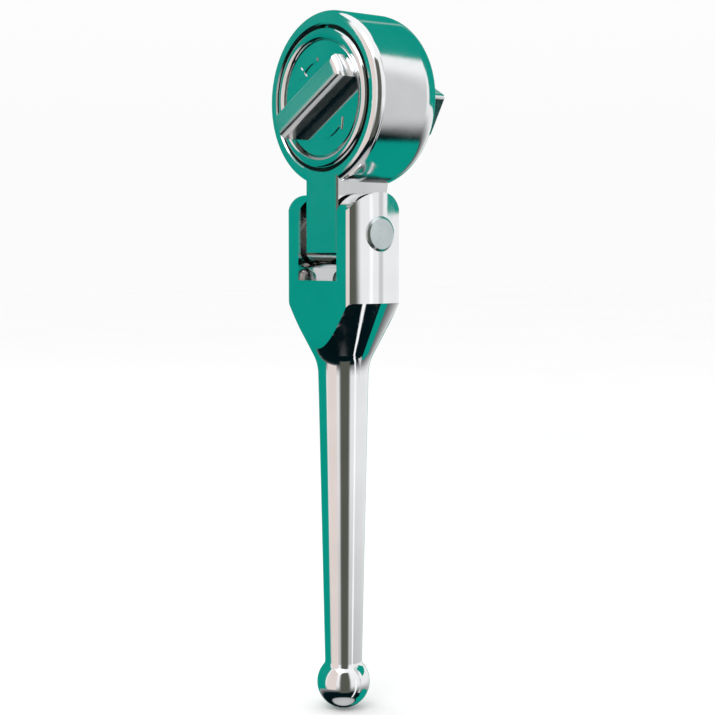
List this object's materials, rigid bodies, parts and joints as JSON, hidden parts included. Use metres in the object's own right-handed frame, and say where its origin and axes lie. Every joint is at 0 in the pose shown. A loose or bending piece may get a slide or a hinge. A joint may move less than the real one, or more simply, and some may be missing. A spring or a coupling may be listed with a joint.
{
  "type": "flex-head ratchet",
  "caption": "Chrome hand ratchet with a hinged round head, raised reversing bar, square drive and a slim tapered handle ending in a ball",
  "frame": {"origin": "centre of the square drive where it leaves the rear face of the head", "axes": "+Y out along the square drive, +Z along the straightened handle from the ball toward the head, X along the hinge pin"},
  "size_m": [0.035, 0.0334, 0.1427],
  "materials": {
    "polished_chrome": "mirror-polished chrome plate",
    "satin_chrome": "satin chrome plate",
    "hardened_steel": "oiled hardened steel",
    "spring_wire": "drawn spring wire",
    "bronze": "sintered bronze",
    "black_oxide": "black oxide"
  },
  "bodies": {
    "handle": {"handle": "polished_chrome", "hinge_pin": "satin_chrome", "pin_cap": "satin_chrome", "friction_washer_right": "hardened_steel", "friction_washer_left": "hardened_steel", "flex_spring": "spring_wire"},
    "hinge_plunger": {"flex_plunger": "hardened_steel"},
    "head": {"head_housing": "polished_chrome", "ratchet_ring": "hardened_steel", "gear_spacer": "hardened_steel", "cover_ring": "polished_chrome", "retaining_ring": "black_oxide", "rear_bushing": "bronze", "thrust_washer": "bronze"},
    "drive": {"drive_core": "polished_chrome", "detent_spring": "spring_wire", "pawl_pin": "hardened_steel"},
    "detent": {"detent_ball": "hardened_steel"},
    "knob": {"shift_knob": "polished_chrome", "knob_spring": "spring_wire"},
    "poker": {"knob_plunger": "hardened_steel"},
    "rocker": {"pawl": "hardened_steel"}
  },
  "joints": [
    {"name": "flex_hinge", "type": "hinge", "parent": "handle", "child": "head", "pos_m": [0, -0.0123, -0.02724], "axis": [1, 0, 0], "range_deg": [-90, 90]},
    {"name": "hinge_plunger_slide", "type": "slide", "parent": "handle", "child": "hinge_plunger", "axis": [0, 0, 1], "range_m": [-0.0008, 0], "stiffness_N_per_m": 100, "springref_m": 0.0008, "deforming": ["flex_spring"]},
    {"name": "drive_spin", "type": "hinge", "parent": "head", "child": "drive", "pos_m": [0, 0, 0], "axis": [0, 1, 0], "continuous": true},
    {"name": "detent_ball_slide", "type": "slide", "parent": "drive", "child": "detent", "axis": [-0.866, 0, 0.5], "range_m": [-0.0008, 0], "stiffness_N_per_m": 40, "springref_m": 0.0008},
    {"name": "knob_shift", "type": "hinge", "parent": "drive", "child": "knob", "pos_m": [0, -0.016, 0], "axis": [0, 1, 0], "range_deg": [0, 60]},
    {"name": "knob_plunger_slide", "type": "slide", "parent": "knob", "child": "poker", "axis": [-0.5, 0, 0.866], "range_m": [-0.0005, 0], "stiffness_N_per_m": 40, "springref_m": 0.0005},
    {"name": "pawl_rock", "type": "hinge", "parent": "drive", "child": "rocker", "pos_m": [0, -0.0105, 0.0095], "axis": [0, 1, 0], "range_deg": [-16, 0]}
  ],
  "couplings": [
    {"joint": "pawl_rock", "follows": "knob_shift", "ratio": -0.26667}
  ]
}
